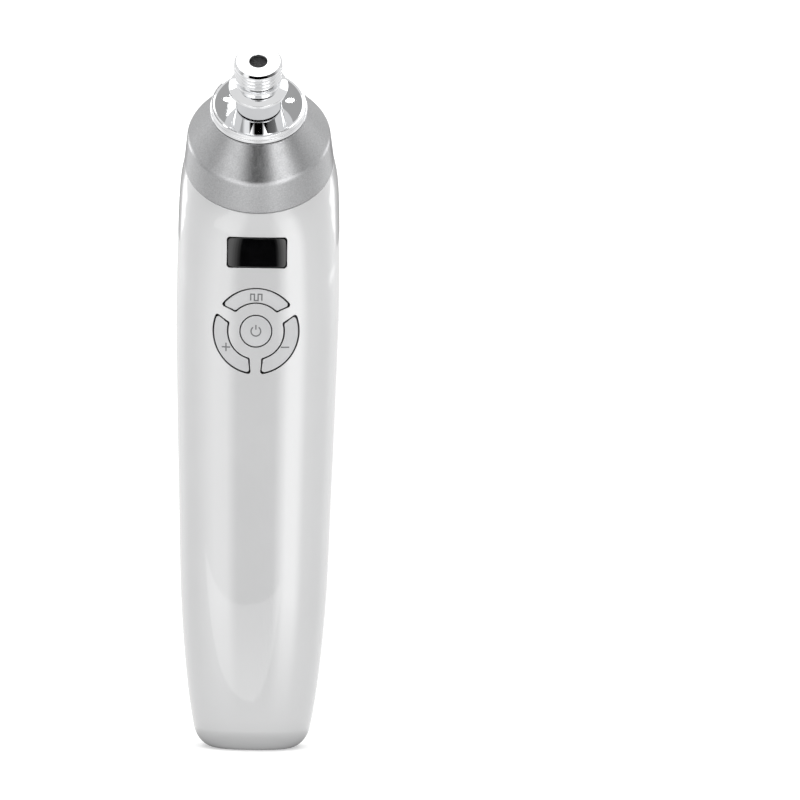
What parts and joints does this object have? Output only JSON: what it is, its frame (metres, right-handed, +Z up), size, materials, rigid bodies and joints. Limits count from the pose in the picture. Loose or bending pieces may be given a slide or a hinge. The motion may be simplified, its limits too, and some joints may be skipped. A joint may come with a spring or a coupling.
{
  "type": "blackhead vacuum extractor",
  "caption": "Hand-held pore vacuum with a bent white two-part body, satin silver head cover, threaded suction nozzle, display window and a ring of keys.",
  "frame": {"origin": "middle of the footprint box, on the flat base that the device stands on", "axes": "+Z up the body, the keys and display face -Y, +X is to the right seen from the keys"},
  "size_m": [0.0438, 0.0536, 0.1915],
  "materials": {
    "white_gloss": "moulded white gloss with a clear lacquer sheen",
    "key_white": "satin white-grey moulding",
    "satin_silver": "fine blasted satin",
    "polished_chrome": "mirror polished",
    "black_window": "polished black acrylic",
    "black_rubber": "matt",
    "steel": "zinc plated",
    "filter_foam": "open black foam",
    "pale_plastic": "natural moulding",
    "dark_plastic": "black moulding",
    "board_green": "solder mask",
    "motor_can": "plated can",
    "brass": "turned",
    "cell_wrap": "blue shrink sleeve over a metal can",
    "silicone": "translucent white silicone",
    "lead_red": "insulated wire",
    "lead_black": "insulated wire",
    "lead_blue": "insulated wire"
  },
  "bodies": {
    "housing": {"front_shell": "white_gloss", "back_shell": "white_gloss", "head_cover": "satin_silver", "chrome_plate": "polished_chrome", "nozzle": "polished_chrome", "nozzle_seal": "black_rubber", "nozzle_nut": "steel", "filter_screen": "filter_foam", "suction_chamber": "pale_plastic", "filter_sponge": "filter_foam", "head_collar": "dark_plastic", "display_window": "black_window", "display_gasket": "black_rubber", "display_module": "dark_plastic", "power_switch": "dark_plastic", "mode_switch": "dark_plastic", "plus_switch": "dark_plastic", "minus_switch": "dark_plastic", "main_board": "board_green", "controller_chip": "dark_plastic", "charge_chip": "dark_plastic", "pump_connector": "pale_plastic", "battery_connector": "pale_plastic", "board_screw_1": "steel", "board_screw_2": "steel", "board_screw_3": "steel", "board_screw_4": "steel", "pump_motor": "motor_can", "motor_end_cap": "pale_plastic", "pump_housing": "dark_plastic", "diaphragm": "black_rubber", "valve_plate": "pale_plastic", "pump_head": "dark_plastic", "exhaust_silencer": "filter_foam", "motor_clamp": "pale_plastic", "clamp_screw_1": "steel", "clamp_screw_2": "steel", "battery_cell": "cell_wrap", "battery_cradle": "pale_plastic", "charging_board": "board_green", "charging_socket": "steel", "suction_hose": "silicone", "battery_lead_red": "lead_red", "battery_lead_black": "lead_black", "motor_lead_red": "lead_red", "motor_lead_black": "lead_black", "charging_lead": "lead_blue"},
    "power_key": {"power_button": "key_white", "power_plunger": "pale_plastic"},
    "mode_key": {"mode_button": "key_white", "mode_plunger": "pale_plastic"},
    "plus_key": {"plus_button": "key_white", "plus_plunger": "pale_plastic"},
    "minus_key": {"minus_button": "key_white", "minus_plunger": "pale_plastic"},
    "pump_crank": {"motor_shaft": "steel", "crank": "brass"},
    "pump_rod": {"piston_rod": "pale_plastic"}
  },
  "joints": [
    {"name": "power_press", "type": "slide", "parent": "housing", "child": "power_key", "axis": [0, 1, 0], "range_m": [0, 0.0004], "stiffness_N_per_m": 6000},
    {"name": "mode_press", "type": "slide", "parent": "housing", "child": "mode_key", "axis": [0, 1, 0], "range_m": [0, 0.0004], "stiffness_N_per_m": 6000},
    {"name": "plus_press", "type": "slide", "parent": "housing", "child": "plus_key", "axis": [0, 1, 0], "range_m": [0, 0.0004], "stiffness_N_per_m": 6000},
    {"name": "minus_press", "type": "slide", "parent": "housing", "child": "minus_key", "axis": [0, 1, 0], "range_m": [0, 0.0004], "stiffness_N_per_m": 6000},
    {"name": "crank_spin", "type": "hinge", "parent": "housing", "child": "pump_crank", "pos_m": [0, 0.01119, 0.115], "axis": [0, 0, 1], "continuous": true},
    {"name": "rod_stroke", "type": "slide", "parent": "housing", "child": "pump_rod", "axis": [1, 0, 0], "range_m": [-0.0008, 0.0008], "stiffness_N_per_m": 400}
  ]
}
